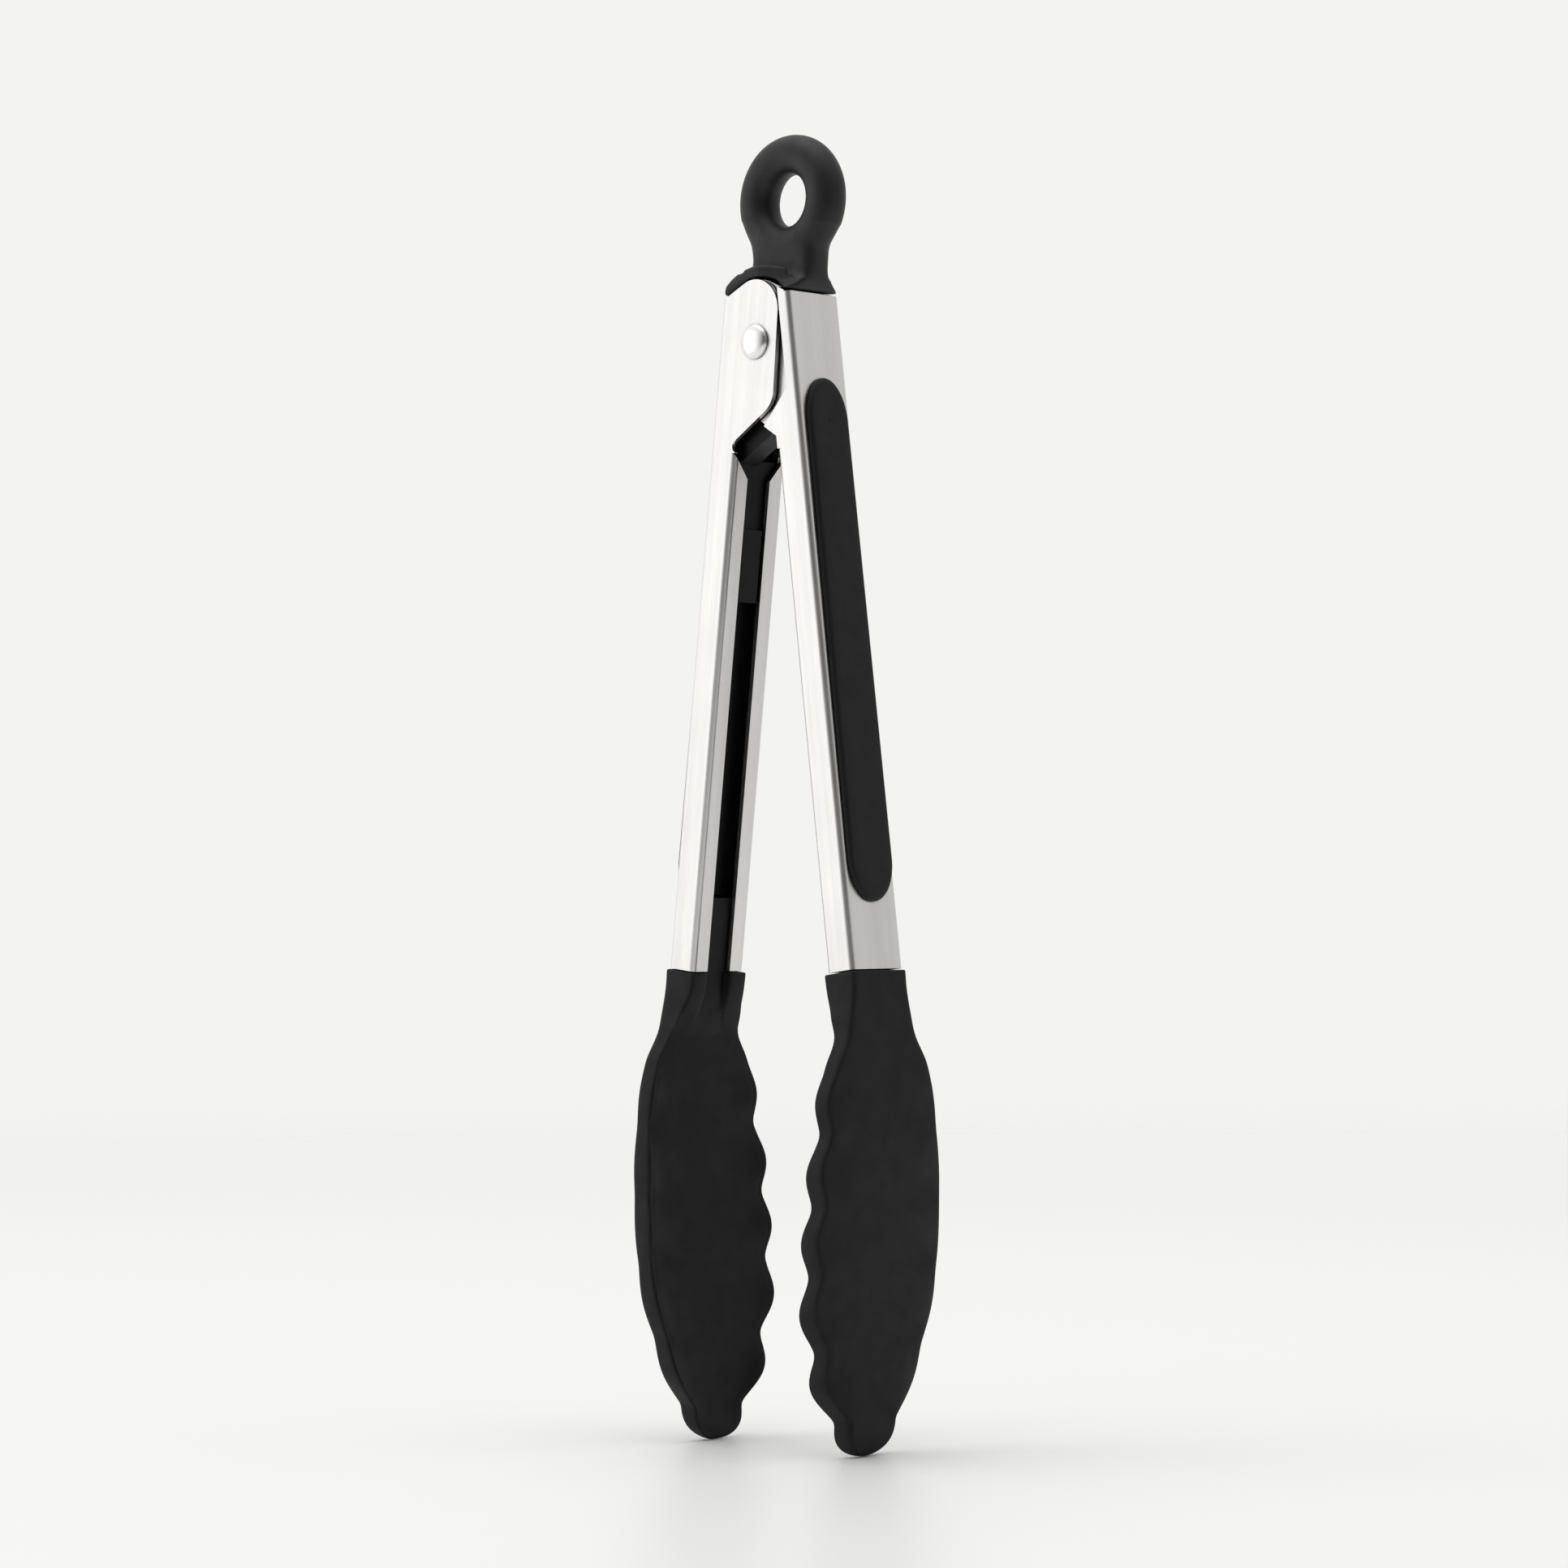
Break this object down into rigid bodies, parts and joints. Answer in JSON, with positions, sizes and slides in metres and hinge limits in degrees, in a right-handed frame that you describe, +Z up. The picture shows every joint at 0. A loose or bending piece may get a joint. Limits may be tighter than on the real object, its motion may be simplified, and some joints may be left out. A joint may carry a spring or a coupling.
{
  "type": "spring loaded kitchen tongs",
  "caption": "Open kitchen tongs: steel channel arms on a sprung hinge, scalloped silicone heads, soft grips and a pull tab with a hanging loop.",
  "frame": {"origin": "centre of the hanging loop's hole, with the tongs open and the tab pushed in", "axes": "+Z up along the hanging tongs, from the heads to the loop; +Y along the hinge rivet and the loop's hole; +X the way the inner arm opens"},
  "size_m": [0.0548, 0.0354, 0.2619],
  "materials": {
    "arm_steel": "fine brushed stainless steel",
    "rivet_steel": "polished stainless steel",
    "spring_steel": "drawn steel",
    "black_nylon": "moulded black nylon",
    "soft_black": "soft matte black grip",
    "black_silicone": "matte black silicone"
  },
  "bodies": {
    "outer_side": {"outer_arm": "arm_steel", "hinge_rivet": "rivet_steel", "pivot_bush": "spring_steel", "torsion_spring": "spring_steel", "outer_grip_carrier": "black_nylon", "outer_grip_pad": "soft_black", "outer_head_core": "black_nylon", "outer_head_cover": "black_silicone"},
    "inner_side": {"inner_arm": "arm_steel", "inner_grip_carrier": "black_nylon", "inner_grip_pad": "soft_black", "inner_head_core": "black_nylon", "inner_head_cover": "black_silicone"},
    "lock_tab": {"lock_slide": "black_nylon", "pull_loop": "soft_black"}
  },
  "joints": [
    {"name": "arm_hinge", "type": "hinge", "parent": "outer_side", "child": "inner_side", "pos_m": [-0.00351, 0, -0.02859], "axis": [0, 1, 0], "range_deg": [0, 9.5], "stiffness_Nm_per_rad": 1.2, "springref_deg": -20.05, "deforming": ["torsion_spring"]},
    {"name": "tab_slide", "type": "slide", "parent": "outer_side", "child": "lock_tab", "axis": [0.1219, 0, 0.9925], "range_m": [0, 0.01]}
  ]
}
